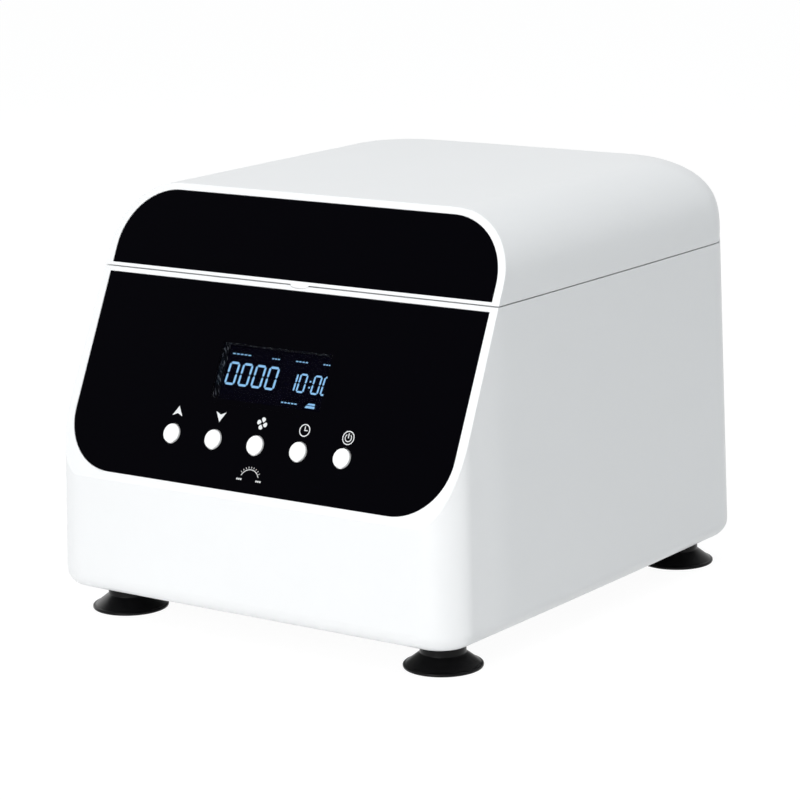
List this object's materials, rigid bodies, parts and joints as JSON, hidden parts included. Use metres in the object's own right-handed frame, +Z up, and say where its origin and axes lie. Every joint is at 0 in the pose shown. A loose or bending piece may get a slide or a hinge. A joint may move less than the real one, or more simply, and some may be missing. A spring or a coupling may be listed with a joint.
{
  "type": "centrifuge",
  "caption": "Low bench centrifuge with a sloped control front, a rear-hinged rounded lid, push buttons, a display and suction feet.",
  "frame": {"origin": "on the bench, under the middle of the housing", "axes": "+Z up, -Y to the front with the sloped control panel, +X to the right side"},
  "size_m": [0.3182, 0.3596, 0.2778],
  "materials": {
    "white_plastic": "smooth semi-gloss moulding",
    "black_overlay": "glossy printed overlay",
    "display_glass": "dark tinted window",
    "display_face": "dark display face",
    "white_button": "glossy moulded cap",
    "black_rubber": "smooth moulded rubber",
    "grey_rubber": "moulded silicone",
    "painted_steel": "powder coat",
    "stainless": "brushed",
    "zinc_steel": "zinc plated",
    "rotor_metal": "satin anodised",
    "sleeve_metal": "polished",
    "grey_plastic": "fine texture",
    "board_green": "lacquered board",
    "switch_black": "fine texture",
    "copper_coil": "enamelled wire",
    "core_steel": "laminated core",
    "brass_pin": "plated contact",
    "capacitor_sleeve": "printed sleeve"
  },
  "bodies": {
    "housing": {"housing_shell": "white_plastic", "base_plate": "painted_steel", "base_screws": "zinc_steel", "suction_feet": "black_rubber", "foot_studs": "zinc_steel", "chamber_bowl": "stainless", "chamber_gasket": "grey_rubber", "guard_ring": "painted_steel", "shaft_boot": "grey_rubber", "control_panel": "black_overlay", "display_window": "display_glass", "display_module": "display_face", "control_board": "board_green", "tact_switches": "switch_black", "hinge_body_leaves": "zinc_steel", "hinge_pins": "zinc_steel", "hinge_screws": "zinc_steel", "lock_bracket": "zinc_steel", "lock_solenoid": "switch_black", "lid_sensor": "switch_black", "motor_can": "painted_steel", "motor_cap": "rotor_metal", "motor_stator": "core_steel", "motor_winding": "copper_coil", "motor_plate": "zinc_steel", "motor_mounts": "black_rubber", "bearing_outer_rings": "zinc_steel", "power_board": "board_green", "board_standoffs": "zinc_steel", "power_transformer": "core_steel", "power_capacitors": "capacitor_sleeve", "power_heatsink": "rotor_metal", "inlet_socket": "switch_black", "inlet_pins": "brass_pin", "switch_frame": "switch_black"},
    "lid": {"lid_shell": "white_plastic", "lid_panel": "black_overlay", "lid_liner": "grey_plastic", "lid_screws": "zinc_steel", "lid_strike": "stainless", "hinge_lid_leaves": "zinc_steel", "lid_hinge_screws": "zinc_steel"},
    "rotor": {"motor_shaft": "stainless", "motor_magnets": "core_steel", "bearing_inner_rings": "zinc_steel", "drive_cone": "stainless", "rotor_body": "rotor_metal", "tube_sleeves": "sleeve_metal", "rotor_nut": "stainless"},
    "button_up": {"button_up": "white_button"},
    "button_down": {"button_down": "white_button"},
    "button_speed": {"button_speed": "white_button"},
    "button_time": {"button_time": "white_button"},
    "button_power": {"button_power": "white_button"},
    "rocker": {"switch_rocker": "switch_black"},
    "bolt": {"lock_bolt": "stainless"}
  },
  "joints": [
    {"name": "lid_hinge", "type": "hinge", "parent": "housing", "child": "lid", "pos_m": [0, 0.1761, 0.2225], "axis": [-1, 0, 0], "range_deg": [0, 95]},
    {"name": "rotor_spin", "type": "hinge", "parent": "housing", "child": "rotor", "pos_m": [0, 0.027, 0], "axis": [0, 0, 1], "continuous": true},
    {"name": "button_up_press", "type": "slide", "parent": "housing", "child": "button_up", "axis": [0, 0.9056, -0.4242], "range_m": [0, 0.001], "stiffness_N_per_m": 300},
    {"name": "button_down_press", "type": "slide", "parent": "housing", "child": "button_down", "axis": [0, 0.9056, -0.4242], "range_m": [0, 0.001], "stiffness_N_per_m": 300},
    {"name": "button_speed_press", "type": "slide", "parent": "housing", "child": "button_speed", "axis": [0, 0.9056, -0.4242], "range_m": [0, 0.001], "stiffness_N_per_m": 300},
    {"name": "button_time_press", "type": "slide", "parent": "housing", "child": "button_time", "axis": [0, 0.9056, -0.4242], "range_m": [0, 0.001], "stiffness_N_per_m": 300},
    {"name": "button_power_press", "type": "slide", "parent": "housing", "child": "button_power", "axis": [0, 0.9056, -0.4242], "range_m": [0, 0.001], "stiffness_N_per_m": 300},
    {"name": "mains_rocker", "type": "hinge", "parent": "housing", "child": "rocker", "pos_m": [-0.056, 0.17335, 0.072], "axis": [1, 0, 0], "range_deg": [0, 16]},
    {"name": "lock_bolt_slide", "type": "slide", "parent": "housing", "child": "bolt", "axis": [-1, 0, 0], "range_m": [0, 0.0105]}
  ]
}
